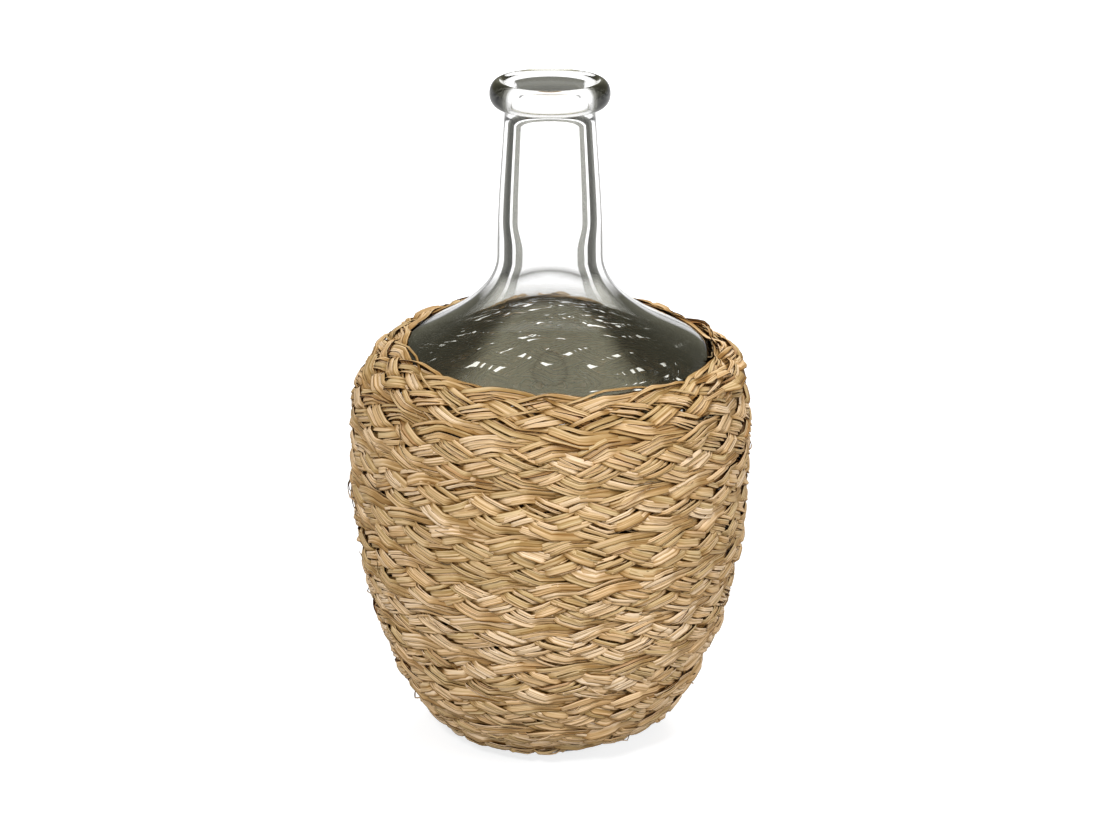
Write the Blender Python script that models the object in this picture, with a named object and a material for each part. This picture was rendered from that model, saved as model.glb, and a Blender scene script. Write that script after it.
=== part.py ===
"""Woven glass vase: a blown glass bottle shape inside a sewn cover of plaited seagrass.

The glass is one turned shell with a rolled lip, a long neck, a sloping shoulder, a full belly and a
hollow foot. The cover is one flat plait of five grass strands. It winds round the glass from the foot
to the shoulder, and its turns are sewn edge to edge with a thread that lies in the seam. Grass is
short, so each strand is renewed about once a turn, and the cut ends meet under a crossing.

Metres, +Z up. The origin is on the axis of the glass, in the plane that the foot stands on.
"""

from math import ceil, cos, pi, radians, sin, sqrt

import bmesh
import bpy
import numpy as np
from mathutils import Vector, geometry

# Glass: outline
HEIGHT = 0.310
FOOT_RADIUS = 0.0365
FOOT_LAND = 0.0050
PUNT_RISE = 0.0050
HEEL_ANGLE = radians(27)
HEEL_PULL = 0.0455
BELLY_RADIUS = 0.0878
BELLY_HEIGHT = 0.1345
BELLY_PULL_DOWN = 0.0430
BELLY_PULL_UP = 0.0361
SHOULDER_RADIUS = 0.0706
SHOULDER_HEIGHT = 0.1874
SHOULDER_SLOPE = radians(46.4)
SHOULDER_PULL_DOWN = 0.0252
SHOULDER_PULL_UP = 0.0073
NECK_ROOT_RADIUS = 0.0237
NECK_ROOT_HEIGHT = 0.2304
NECK_ROOT_PULL = 0.0241
NECK_TOP_RADIUS = 0.0200

# Glass: lip and walls
LIP_RADIUS = 0.0268
LIP_HEIGHT = 0.0119
MOUTH_RADIUS = 0.0182
MOUTH_DEPTH = 0.0190
BODY_WALL = 0.0035
NECK_WALL = 0.0045
BASE_THICKNESS = 0.0060

# Cover: the plait and how it is sewn
COVER_START = 0.0150
COVER_ROWS = 9.62
PLAIT_WIDTH = 0.0195
SEAM = 0.0017
STRANDS = 5
STRAND_SPREAD = 0.0053
STRAND_THICKNESS = 0.0016
CROSSING_ROOM = 1.7
FOLD_PITCH = 0.0295
BLADE_LENGTH_TURNS = 1.05
FOOT_END_WIDTH = 0.27
RIM_END_WIDTH = 0.62
RIM_END_AZIMUTH = radians(-15)
THREAD_WIDTH = 0.0005

# Fits
CLEARANCE = 0.0003
SEAT = 0.0004

# Facets
GLASS_SIDES = 36
THREAD_SIDES = 24
OUTLINE_SAMPLES = 60

GRASS_TINTS = (
    (0.50, 0.34, 0.17),
    (0.56, 0.40, 0.21),
    (0.46, 0.33, 0.17),
    (0.60, 0.44, 0.25),
    (0.52, 0.35, 0.20),
)


def clear_scene():
    for old in list(bpy.data.objects):
        bpy.data.objects.remove(old, do_unlink=True)


def make_material(name, colour, roughness, transmission=0.0):
    material = bpy.data.materials.new(name)
    material.use_nodes = True
    shader = material.node_tree.nodes["Principled BSDF"]
    shader.inputs["Base Color"].default_value = (*colour, 1.0)
    shader.inputs["Roughness"].default_value = roughness
    shader.inputs["Metallic"].default_value = 0.0
    shader.inputs["Transmission Weight"].default_value = transmission
    return material


def add_object(name, bm, material):
    """Turn a finished bmesh into a named object with its own material."""
    bmesh.ops.recalc_face_normals(bm, faces=bm.faces)
    mesh = bpy.data.meshes.new(name)
    bm.to_mesh(mesh)
    bm.free()
    mesh.materials.append(material)
    obj = bpy.data.objects.new(name, mesh)
    bpy.context.collection.objects.link(obj)
    return obj


# Outline of the glass, as (radius, height) points


def polar(angle, length):
    return Vector((cos(angle) * length, sin(angle) * length))


def curve(start, start_pull, end_pull, end, steps):
    """Points from start to end along a curve that leaves by start_pull and arrives by end_pull."""
    return geometry.interpolate_bezier(start, start + start_pull, end + end_pull, end, steps + 1)


def outer_curves(heel_steps, shoulder_steps, flare_steps, neck_steps):
    """The outside of the glass from the foot to the underside of the lip."""
    foot = Vector((FOOT_RADIUS, 0.0))
    belly = Vector((BELLY_RADIUS, BELLY_HEIGHT))
    shoulder = Vector((SHOULDER_RADIUS, SHOULDER_HEIGHT))
    neck_root = Vector((NECK_ROOT_RADIUS, NECK_ROOT_HEIGHT))
    neck_top = Vector((NECK_TOP_RADIUS, HEIGHT - LIP_HEIGHT))
    up = Vector((0.0, 1.0))
    neck_third = (neck_top - neck_root) / 3
    points = curve(foot, polar(HEEL_ANGLE, HEEL_PULL), -up * BELLY_PULL_DOWN, belly, heel_steps)
    points += curve(
        belly,
        up * BELLY_PULL_UP,
        polar(-SHOULDER_SLOPE, SHOULDER_PULL_DOWN),
        shoulder,
        shoulder_steps,
    )[1:]
    points += curve(
        shoulder,
        polar(pi - SHOULDER_SLOPE, SHOULDER_PULL_UP),
        -up * NECK_ROOT_PULL,
        neck_root,
        flare_steps,
    )[1:]
    points += curve(neck_root, up * neck_third.y, -neck_third, neck_top, neck_steps)[1:]
    return points


def lip_curve(steps):
    """The rolled lip, from the neck under it, out and over the top to the mouth."""
    middle = Vector(((LIP_RADIUS + MOUTH_RADIUS) / 2, HEIGHT - LIP_HEIGHT / 2))
    half_width = (LIP_RADIUS - MOUTH_RADIUS) / 2
    half_height = LIP_HEIGHT / 2
    first, last = radians(-90), radians(180)
    angles = [first + (last - first) * i / steps for i in range(steps + 1)]
    return [middle + Vector((cos(a) * half_width, sin(a) * half_height)) for a in angles]


def wall_at(height):
    """Wall thickness: even in the body, growing to the thicker neck over the shoulder."""
    share = (height - SHOULDER_HEIGHT) / (NECK_ROOT_HEIGHT - SHOULDER_HEIGHT)
    return BODY_WALL + (NECK_WALL - BODY_WALL) * min(max(share, 0.0), 1.0)


def inner_curve(outer):
    """The inside of the glass, from under the mouth down to the heel."""
    inside = []
    for before, point, after in zip(outer, outer[1:], outer[2:]):
        along = (after - before).normalized()
        inward = Vector((-along.y, along.x))
        inside.append(point + inward * wall_at(point.y))
    top_of_bore = HEIGHT - MOUTH_DEPTH
    return [p for p in reversed(inside) if 2 * BASE_THICKNESS < p.y < top_of_bore]


def glass_profile():
    outer = outer_curves(heel_steps=6, shoulder_steps=5, flare_steps=6, neck_steps=2)
    inner = inner_curve(outer_curves(heel_steps=6, shoulder_steps=4, flare_steps=5, neck_steps=2))
    bore_top = Vector((NECK_TOP_RADIUS - NECK_WALL, HEIGHT - MOUTH_DEPTH))
    floor = Vector((0.0, PUNT_RISE + BASE_THICKNESS))
    heel_inside = inner[-1]
    heel_pull = polar(pi + HEEL_ANGLE, heel_inside.x / 3)
    floor_curve = curve(heel_inside, heel_pull, Vector((heel_inside.x / 3, 0.0)), floor, 3)
    punt_edge = Vector((FOOT_RADIUS - FOOT_LAND, 0.0))
    punt_top = Vector((0.0, PUNT_RISE))
    punt_pull = Vector((punt_edge.x / 2, 0.0))
    punt_curve = curve(punt_top, punt_pull, Vector((-punt_edge.x / 4, PUNT_RISE / 2)), punt_edge, 3)
    return outer + lip_curve(6) + [bore_top] + inner + floor_curve[1:] + punt_curve


def make_glass(material):
    bm = bmesh.new()
    verts = [bm.verts.new((p.x, 0.0, p.y)) for p in glass_profile()]
    edges = [bm.edges.new(pair) for pair in zip(verts, verts[1:] + verts[:1])]
    on_axis = [edge for edge in edges if all(vert.co.x < 1e-6 for vert in edge.verts)]
    edges = [edge for edge in edges if edge not in on_axis]
    bmesh.ops.delete(bm, geom=on_axis, context="EDGES_FACES")
    bmesh.ops.spin(
        bm,
        geom=verts + edges,
        axis=(0.0, 0.0, 1.0),
        cent=(0.0, 0.0, 0.0),
        angle=2 * pi,
        steps=GLASS_SIDES,
        use_merge=True,
    )
    bmesh.ops.remove_doubles(bm, verts=bm.verts, dist=1e-6)
    vase = add_object("glass_vase", bm, material)
    vase.data.shade_smooth()
    vase.data.set_sharp_from_angle(angle=radians(40))
    return vase


# The plait lies on the outside of the glass. A place on it is given by its distance along the outline
# from the foot, its lift off the glass, and its angle round the axis.


class GlassSurface:
    """The outside of the glass as a function of the distance along its outline."""

    def __init__(self):
        steps = OUTLINE_SAMPLES
        points = np.array([p[:] for p in outer_curves(steps, steps, steps, steps)])
        lengths = np.hypot(*np.diff(points, axis=0).T)
        self.distance = np.concatenate([[0.0], np.cumsum(lengths)])
        self.points = points
        slopes = np.gradient(points, self.distance, axis=0)
        self.normals = np.column_stack([slopes[:, 1], -slopes[:, 0]])

    def at(self, distance, lift):
        """Radius and height of a place that far along the outline and that far off the glass."""
        radius, height = (np.interp(distance, self.distance, column) for column in self.points.T)
        out_r, out_z = (np.interp(distance, self.distance, column) for column in self.normals.T)
        return radius + out_r * lift, height + out_z * lift


def round_axis(radius, height, azimuth):
    return Vector((cos(azimuth) * radius, sin(azimuth) * radius, height))


class Plait:
    """Five strands plaited over two and under two, on one set of evenly spaced stations."""

    def __init__(self, surface):
        self.surface = surface
        self.pitch = PLAIT_WIDTH + SEAM
        self.step = FOLD_PITCH / 2
        self.period = 2 * STRANDS
        self.rise = CROSSING_ROOM * (STRAND_THICKNESS + CLEARANCE)
        self.turns = self.lay_stations()

    def edges(self, turn):
        """Lower and upper edge of the plait. Its two ends taper, so that foot and rim run level."""
        lower = COVER_START + self.pitch * max(turn - 1.0, 0.0)
        upper = COVER_START + self.pitch * min(turn, COVER_ROWS)
        return lower, upper

    def lay_stations(self):
        """The turn that each station is at, one step of plait after the other."""
        turns = [FOOT_END_WIDTH]
        while turns[-1] < COVER_ROWS + 1 - RIM_END_WIDTH:
            middle = sum(self.edges(turns[-1])) / 2
            radius, _ = self.surface.at(middle, self.rise)
            turns.append(turns[-1] + self.step / (2 * pi * radius))
        return turns

    def azimuth(self, turn):
        """The plait climbs clockwise, seen from above, and its last end is at the right of the rim."""
        return RIM_END_AZIMUTH + 2 * pi * (self.turns[-1] - turn)

    def chord_sag(self, radius):
        """How far the middle of a straight step lies inside the circle that its ends are on."""
        return radius - sqrt(radius**2 - (self.step / 2) ** 2)

    def bulge(self, middle, reach):
        """How far the glass bulges past a straight line across the strand."""
        ends = [Vector(self.surface.at(middle + side * reach, 0.0)) for side in (-1, 1)]
        return (Vector(self.surface.at(middle, 0.0)) - (ends[0] + ends[1]) / 2).length

    def path(self, phase):
        """Where a strand is at a station: across the plait, from -1 to 1, and its level, from 0 to 1."""
        height = abs(1 - phase / STRANDS)
        flat = 1 / STRANDS
        across = (min(max(height, flat), 1 - flat) - 0.5) / (0.5 - flat)
        half = phase % STRANDS
        if half == 0:
            return across, 0.5
        return across, 1.0 if half < STRANDS / 2 else 0.0

    def section(self, station, strand):
        """The three corners of a strand at a station: its two thin edges and its ridge."""
        turn = self.turns[station]
        lower, upper = self.edges(turn)
        share = (upper - lower - SEAM) / PLAIT_WIDTH
        across, level = self.path((station - 2 * strand) % self.period)
        middle = (lower + upper) / 2 + across * share * (PLAIT_WIDTH - STRAND_SPREAD) / 2
        reach = share * STRAND_SPREAD / 2
        radius, _ = self.surface.at(middle, 0.0)
        lift = SEAT + self.chord_sag(radius) + self.bulge(middle, reach) + level * self.rise
        corners = ((middle - reach, lift), (middle + reach, lift), (middle, lift + STRAND_THICKNESS))
        azimuth = self.azimuth(turn)
        return [round_axis(*self.surface.at(place, height), azimuth) for place, height in corners]

    def part_section(self, place, strand):
        """A section between two stations, on the straight line between theirs."""
        station = min(int(place), len(self.turns) - 2)
        share = place - station
        pairs = zip(self.section(station, strand), self.section(station + 1, strand))
        return [first.lerp(second, share) for first, second in pairs]

    def splices(self, strand):
        """Stations where the strand is renewed: about once a turn, where it runs under a crossing."""
        under = [
            station
            for station in range(1, len(self.turns) - 1)
            if (station - 2 * strand) % STRANDS == STRANDS - 1
        ]
        whole = self.turns[-1] - self.turns[0]
        pieces = round(whole / BLADE_LENGTH_TURNS)
        wanted = [self.turns[0] + whole * piece / pieces for piece in range(1, pieces)]
        return [min(under, key=lambda s: abs(self.turns[s] - turn)) for turn in wanted]

    def lengths(self, strand):
        """Each length of the strand as its list of sections, with a small gap at every splice."""
        half_gap = CLEARANCE / 2 / self.step
        splices = self.splices(strand)
        starts = [0.0] + [s + half_gap for s in splices]
        ends = [s - half_gap for s in splices] + [float(len(self.turns) - 1)]
        for start, end in zip(starts, ends):
            between = [s for s in range(len(self.turns)) if start < s < end]
            yield (
                [self.part_section(start, strand)]
                + [self.section(s, strand) for s in between]
                + [self.part_section(end, strand)]
            )

    def seam(self):
        """Sections of the sewing thread, in the seam between each turn and the next one up."""
        sections = []
        first, last = self.turns[0], self.turns[-1] - 1
        steps = ceil((last - first) * THREAD_SIDES)
        for number in range(steps + 1):
            turn = first + (last - first) * number / steps
            _, place = self.edges(turn)
            radius, height = self.surface.at(place, SEAT + self.rise / 2 + STRAND_THICKNESS / 2)
            radius *= (1 + 1 / cos(pi / THREAD_SIDES)) / 2
            azimuth = self.azimuth(turn)
            ring = [polar(radians(corner), THREAD_WIDTH / sqrt(3)) for corner in (90, 210, 330)]
            sections.append([round_axis(radius + p.x, height + p.y, azimuth) for p in ring])
        return sections


def loft(sections):
    """A closed body through the sections: the end face is drawn out from each to the next."""
    bm = bmesh.new()
    end = bm.faces.new([bm.verts.new(corner) for corner in sections[0]])
    for section in sections[1:]:
        end = bmesh.ops.extrude_discrete_faces(bm, faces=[end])["faces"][0]
        for vert, corner in zip(end.verts, section):
            vert.co = corner
    bmesh.ops.holes_fill(bm, edges=bm.edges)
    return bm


def main():
    clear_scene()
    glass = make_material("clear_glass", (0.90, 0.93, 0.91), 0.03, transmission=1.0)
    thread = make_material("sewing_thread", (0.42, 0.33, 0.22), 0.8)
    tints = [make_material(f"seagrass_{n + 1}", tint, 0.6) for n, tint in enumerate(GRASS_TINTS)]

    make_glass(glass)
    plait = Plait(GlassSurface())
    for strand in range(STRANDS):
        for row, sections in enumerate(plait.lengths(strand)):
            name = f"plait_row_{row + 1}_strand_{strand + 1}"
            add_object(name, loft(sections), tints[strand % len(tints)])
    add_object("seam_thread", loft(plait.seam()), thread)


main()
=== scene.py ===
"""Looks of the woven glass vase: clear blown glass in a sewn cover of plaited seagrass.

The glass is one turned shell. The cover is a flat plait of five strands that winds round it, and each
strand is a bundle of dried grass blades that runs over one and under one from edge to edge.
Metres, +Z up, with the origin on the axis of the glass, in the plane that its foot stands on.
"""

import logging
import math
from abc import ABC, abstractmethod
from dataclasses import dataclass, field
from enum import Enum
from typing import NamedTuple

import bmesh
import bpy
import numpy as np
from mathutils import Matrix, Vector, geometry


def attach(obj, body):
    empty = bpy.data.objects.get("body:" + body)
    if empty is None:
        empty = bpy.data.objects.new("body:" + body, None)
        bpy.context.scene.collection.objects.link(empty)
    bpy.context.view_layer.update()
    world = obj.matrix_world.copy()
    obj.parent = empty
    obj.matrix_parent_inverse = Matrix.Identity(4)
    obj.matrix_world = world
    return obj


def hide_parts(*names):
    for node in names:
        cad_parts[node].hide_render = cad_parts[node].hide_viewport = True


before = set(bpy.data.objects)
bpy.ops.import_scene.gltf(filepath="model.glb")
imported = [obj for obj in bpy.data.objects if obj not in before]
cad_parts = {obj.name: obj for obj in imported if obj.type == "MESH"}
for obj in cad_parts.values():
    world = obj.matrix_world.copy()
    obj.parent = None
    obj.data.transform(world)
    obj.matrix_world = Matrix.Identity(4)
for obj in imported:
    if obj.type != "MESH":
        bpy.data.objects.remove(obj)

log = logging.getLogger("woven_glass_vase")

Colour = tuple[float, float, float]
Bands = tuple[tuple[float, Colour], ...]
Socket = bpy.types.NodeSocket
Input = Socket | float | tuple[float, ...]
Owner = bpy.types.Material | bpy.types.World

BLADE_MARKS = ("tint", "along", "across", "depth")
BLADE_SEED = 20


def grey(level: float) -> Colour:
    """A neutral colour of that level."""
    return (level, level, level)


CLEAR = grey(1.0)
BLACK = grey(0.0)
PALE_GLASS: Colour = (0.95, 0.95, 0.91)
# Painted shade on the glass: tints that darken light through it in bands on the neck, shoulder and lip,
# and under the cover
GREEN_PAINTED_SHADE: Colour = (0.63, 0.63, 0.53)
GREY_PAINTED_SHADE: Colour = (0.075, 0.075, 0.062)
ARC_PAINTED_SHADE: Colour = (0.050, 0.050, 0.042)
DUSK_PAINTED_SHADE: Colour = (0.022, 0.022, 0.017)
DARK_PAINTED_SHADE: Colour = (0.004, 0.004, 0.003)
DIM_ROOM: Colour = (0.32, 0.31, 0.22)
WARM_ROOM: Colour = (2.0, 1.93, 1.42)


class GrassTint(Enum):
    """Colours of dried seagrass, in linear light, from the darkest blade to the palest."""

    UMBER = (0.300, 0.155, 0.056)
    ROSE = (0.530, 0.315, 0.145)
    OLIVE = (0.550, 0.375, 0.165)
    STRAW = (0.670, 0.430, 0.205)
    GOLD = (0.745, 0.520, 0.290)
    PALE = (0.775, 0.575, 0.360)


class Blend(Enum):
    """How two colours are put together."""

    MIX = "MIX"
    MULTIPLY = "MULTIPLY"


class Easing(Enum):
    """How a value grows from one end of its range to the other."""

    STRAIGHT = "LINEAR"
    SMOOTH = "SMOOTHSTEP"


class NodeSheet:
    """The node tree of a material or the world, with short calls that add nodes and join them."""

    def __init__(self, owner: Owner) -> None:
        """Start an empty tree.

        Args:
            owner: the material or world.
        """
        self.owner = owner
        owner.use_nodes = True
        self.tree = owner.node_tree
        self.tree.nodes.clear()

    def node(self, kind: str, settings: dict[str, str] | None = None, **sockets: Input) -> bpy.types.Node:
        """Add a node.

        Args:
            kind: the node's type without its ShaderNode prefix.
            settings: properties of the node itself.
            sockets: input values or outputs to join, by socket name with _ for a space, or by i and the
                socket's number.

        Returns:
            The new node.
        """
        new = self.tree.nodes.new("ShaderNode" + kind)
        for key, value in (settings or {}).items():
            setattr(new, key, value)
        for key, value in sockets.items():
            socket = new.inputs[int(key[1:])] if key[1:].isdigit() else new.inputs[key.replace("_", " ")]
            if isinstance(value, Socket):
                self.tree.links.new(value, socket)
            else:
                socket.default_value = value
        return new

    def maths(self, operation: str, first: Input, second: Input = 0.0, third: Input = 0.0) -> Socket:
        """Add a Math node.

        Args:
            operation: what it does with its values.
            first: its first value.
            second: its second value.
            third: its third value.

        Returns:
            Its output.
        """
        return self.node("Math", {"operation": operation}, i0=first, i1=second, i2=third).outputs[0]

    def ramp(self, factor: Socket, stops: Bands) -> Socket:
        """Add a colour ramp.

        Args:
            factor: the output that drives it.
            stops: place and colour of each stop, in order.

        Returns:
            Its colour output.
        """
        new = self.node("ValToRGB", Fac=factor)
        elements = new.color_ramp.elements
        while len(elements) < len(stops):
            elements.new(0.5)
        for element, (place, colour) in zip(elements, stops):
            element.position = place
            element.color = (*colour, 1.0)
        return new.outputs["Color"]

    def mix(self, share: Input, first: Input, second: Input, blend: Blend = Blend.MIX) -> Socket:
        """Put two colours together.

        Args:
            share: how much of the second colour counts.
            first: the first colour.
            second: the second colour.
            blend: how they are put together.

        Returns:
            The colour that comes out.
        """
        settings = {"blend_type": blend.value}
        return self.node("MixRGB", settings, Fac=share, Color1=first, Color2=second).outputs[0]

    def noise(self, place: Socket, rate: float, detail: float = 2.0, roughness: float = 0.5) -> Socket:
        """Add a soft random pattern.

        Args:
            place: where the pattern is read.
            rate: how fine it is.
            detail: how many finer patterns are added to it.
            roughness: how much the finer patterns count.

        Returns:
            Its value.
        """
        sockets = {"Vector": place, "Scale": rate, "Detail": detail, "Roughness": roughness}
        return self.node("TexNoise", **sockets).outputs["Fac"]

    def bump(self, relief: Socket, strength: float, height: float) -> Socket:
        """Add fine relief.

        Args:
            relief: the pattern that is raised.
            strength: how much of it shows.
            height: its height in metres.

        Returns:
            The surface direction to give to a shader.
        """
        return self.node("Bump", Strength=strength, Distance=height, Height=relief).outputs[0]

    def spread(
        self, value: Socket, source: tuple[float, float], target: tuple[float, float], easing: Easing
    ) -> Socket:
        """Carry a value over from one range to another.

        Args:
            value: the value.
            source: the two ends of its own range.
            target: what they become.
            easing: how it grows between them.

        Returns:
            The new value.
        """
        ends = {"From_Min": source[0], "From_Max": source[1], "To_Min": target[0], "To_Max": target[1]}
        return self.node("MapRange", {"interpolation_type": easing.value}, Value=value, **ends).outputs[0]

    def facing(self, **sockets: Input) -> Socket:
        """How edge on a surface is seen, from 0 to 1, with its own direction or the one given."""
        return self.node("LayerWeight", Blend=0.5, **sockets).outputs["Facing"]

    def rays(self, **shares: float) -> Input:
        """Add nodes that tell rays of some kinds from all others.

        Args:
            shares: how much each kind of ray counts, by kind in lower case.

        Returns:
            The greatest share that fits the ray, or 0.
        """
        path = self.node("LightPath")
        found = 0.0
        for kind, share in shares.items():
            one = path.outputs[f"Is {kind.title()} Ray"]
            if share != 1.0:
                one = self.maths("MULTIPLY", one, share)
            found = self.maths("MAXIMUM", found, one)
        return found

    def finish(self, shader: bpy.types.Node) -> Owner:
        """Join the last shader to the output.

        Args:
            shader: the last shader.

        Returns:
            The material or world that the tree belongs to.
        """
        output = self.node("OutputWorld" if isinstance(self.owner, bpy.types.World) else "OutputMaterial")
        self.tree.links.new(shader.outputs[0], output.inputs["Surface"])
        return self.owner


@dataclass(frozen=True)
class GrassFinish:
    """Dried seagrass: satin, with fine fibres along it and colour that drifts from blade to blade."""

    name: str = "dried_seagrass"
    roughness: float = 0.60
    gloss: float = 0.22
    relief: float = 0.55
    relief_height: float = 0.00020
    # Fibres: how fine they are along and across the blade, and how they light it
    fibre_rate: float = 34.0
    fibre_lines: float = 2.6
    fibre_detail: float = 3.0
    fibre_roughness: float = 0.6
    fibre_contrast: float = 2.4
    fibre_shade: float = -0.20
    # Colour: how far it drifts, and where the tints stand on the ramp
    blade_step: float = 60.0
    drift_rate: float = 0.21
    drift_reach: float = 0.55
    tint_start: float = 0.04
    tint_span: float = 0.92
    # Painted light and shade across the blade: a darker middle vein as painted crease shade, a pale
    # stripe towards one edge as a painted highlight, and a dark edge as painted shade between blades
    side_light: float = 0.92
    vein_reach: float = 0.16
    vein_softness: float = 0.1
    vein_light: float = 0.5
    highlight_at: float = 0.66
    highlight_fall: float = -2.4
    highlight_peak: float = 0.52
    edge_power: float = 7.0
    edge_shade: float = -0.95
    # Painted light and shade by depth in the plait, lighter where a strand passes over and darker where
    # it passes under, and how shade warms the colour
    over_light: float = 1.12
    under_shade: float = -0.62
    light_limit: float = 1.40
    green_power: float = 1.32
    blue_power: float = 1.98

    def tint_colour(self, sheet: NodeSheet, tint: Socket, place: Socket) -> Socket:
        """Choose the colour of a spot, which drifts a little round the blade's own tint.

        Args:
            sheet: the material's nodes.
            tint: the blade's tint, from 0 to 1.
            place: the spot along and across the blade.

        Returns:
            The colour.
        """
        drift = sheet.noise(place, self.drift_rate)
        centred = sheet.maths("ADD", tint, -self.drift_reach / 2)
        shade = sheet.maths("MULTIPLY_ADD", drift, self.drift_reach, centred)
        last = len(GrassTint) - 1
        places = (self.tint_start + self.tint_span * number / last for number in range(last + 1))
        return sheet.ramp(shade, tuple((place, named.value) for place, named in zip(places, GrassTint)))

    def cross_light(self, sheet: NodeSheet, across: Socket, vein: Socket) -> Socket:
        """Paint light and shade across the blade, from its vein to its edges.

        Args:
            sheet: the material's nodes.
            across: the place across the blade, from -1 to 1.
            vein: the rise of the middle vein.

        Returns:
            How light each place is painted.
        """
        # A dark edge of painted shade between blades, a pale stripe as a painted highlight, and the vein
        # darker as painted crease shade
        edge = sheet.maths("POWER", sheet.maths("ABSOLUTE", across), self.edge_power)
        off = sheet.maths("ABSOLUTE", sheet.maths("SUBTRACT", across, self.highlight_at))
        stripe = sheet.maths("MULTIPLY_ADD", off, self.highlight_fall, self.highlight_peak)
        flat = sheet.maths("ADD", sheet.maths("MAXIMUM", stripe, 0.0), self.side_light)
        side = sheet.maths("MULTIPLY_ADD", vein, self.vein_light, flat)
        return sheet.maths("MULTIPLY_ADD", edge, self.edge_shade, side)

    def material(self) -> bpy.types.Material:
        """Build the material from each blade's own tint, along, across and depth attributes.

        Returns:
            The finished material.
        """
        sheet = NodeSheet(bpy.data.materials.new(self.name))
        tint, along, across, depth = (
            sheet.node("Attribute", {"attribute_name": key}).outputs["Fac"] for key in BLADE_MARKS
        )
        place = sheet.node(
            "CombineXYZ",
            X=sheet.maths("MULTIPLY", along, self.fibre_rate),
            Y=sheet.maths("MULTIPLY", across, self.fibre_lines),
            Z=sheet.maths("MULTIPLY", tint, self.blade_step),
        ).outputs[0]
        fibre = sheet.noise(place, 1.0, self.fibre_detail, self.fibre_roughness)
        middle = sheet.maths("ABSOLUTE", across)
        vein = sheet.maths("SMOOTH_MIN", middle, self.vein_reach, self.vein_softness)
        lines = sheet.maths("MULTIPLY_ADD", fibre, self.fibre_contrast, self.fibre_shade)
        light = sheet.maths("MULTIPLY", lines, self.cross_light(sheet, across, vein))
        # Painted light where a strand passes over, painted shade where it passes under
        deep = sheet.maths("MULTIPLY_ADD", depth, self.under_shade, self.over_light)
        light = sheet.maths("MINIMUM", sheet.maths("MULTIPLY", light, deep), self.light_limit)
        green = sheet.maths("POWER", light, self.green_power)
        blue = sheet.maths("POWER", light, self.blue_power)
        shift = sheet.node("CombineXYZ", X=light, Y=green, Z=blue).outputs[0]
        colour = self.tint_colour(sheet, tint, place)
        lit = sheet.node("VectorMath", {"operation": "MULTIPLY"}, i0=colour, i1=shift)
        shader = sheet.node(
            "BsdfPrincipled",
            Base_Color=lit.outputs[0],
            Roughness=self.roughness,
            Specular_IOR_Level=self.gloss,
            Normal=sheet.bump(sheet.maths("ADD", fibre, vein), self.relief, self.relief_height),
        )
        return sheet.finish(shader)


@dataclass(frozen=True)
class GlassSpot:
    """What the glass finishes read at a spot: its place, its height, how far it is round from the one
    who looks, and whether it is on the lip.
    """

    place: Socket
    height: Socket
    turned: Socket
    on_lip: Socket


@dataclass(frozen=True)
class GlassFinish(ABC):
    """Clear blown glass with a gently wavy face."""

    name: str
    ior: float = 1.50
    light_pass: float = 0.58
    lip_from: float = 0.2990
    wave_rates: tuple[float, float, float] = (14.0, 14.0, 60.0)
    wave_strength: float = 0.10
    wave_height: float = 0.0008

    @abstractmethod
    def shade(self, sheet: NodeSheet, spot: GlassSpot) -> Socket:
        """The colour, painted shade included, that this face of the glass gives to light that comes in
        through it.
        """

    def material(self) -> bpy.types.Material:
        """Build the material. Light that leaves the glass or that it mirrors keeps its colour.

        Returns:
            The finished material.
        """
        sheet = NodeSheet(bpy.data.materials.new(self.name))
        place = sheet.node("TexCoord").outputs["Object"]
        waves = sheet.node("Mapping", Vector=place, Scale=self.wave_rates).outputs[0]
        apart = sheet.node("SeparateXYZ", Vector=place).outputs
        flat = sheet.node("CombineXYZ", X=apart["X"], Y=apart["Y"]).outputs[0]
        radial = sheet.node("VectorMath", {"operation": "NORMALIZE"}, i0=flat).outputs[0]
        spot = GlassSpot(
            place=place,
            height=apart["Z"],
            turned=sheet.facing(Normal=radial),
            on_lip=sheet.maths("GREATER_THAN", apart["Z"], self.lip_from),
        )
        leaving = sheet.node("NewGeometry").outputs["Backfacing"]
        leaving = sheet.maths("MAXIMUM", leaving, sheet.rays(glossy=1.0))
        shader = sheet.node(
            "BsdfPrincipled",
            Base_Color=sheet.mix(leaving, self.shade(sheet, spot), (*CLEAR, 1.0)),
            Roughness=0.0,
            IOR=self.ior,
            Transmission_Weight=1.0,
            Normal=sheet.bump(sheet.noise(waves, 1.0, 0.0), self.wave_strength, self.wave_height),
        )
        light = sheet.node("BsdfTransparent", Color=(*grey(self.light_pass), 1.0))
        rays = sheet.rays(shadow=1.0, diffuse=1.0)
        return sheet.finish(sheet.node("MixShader", Fac=rays, i1=shader.outputs[0], i2=light.outputs[0]))


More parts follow.
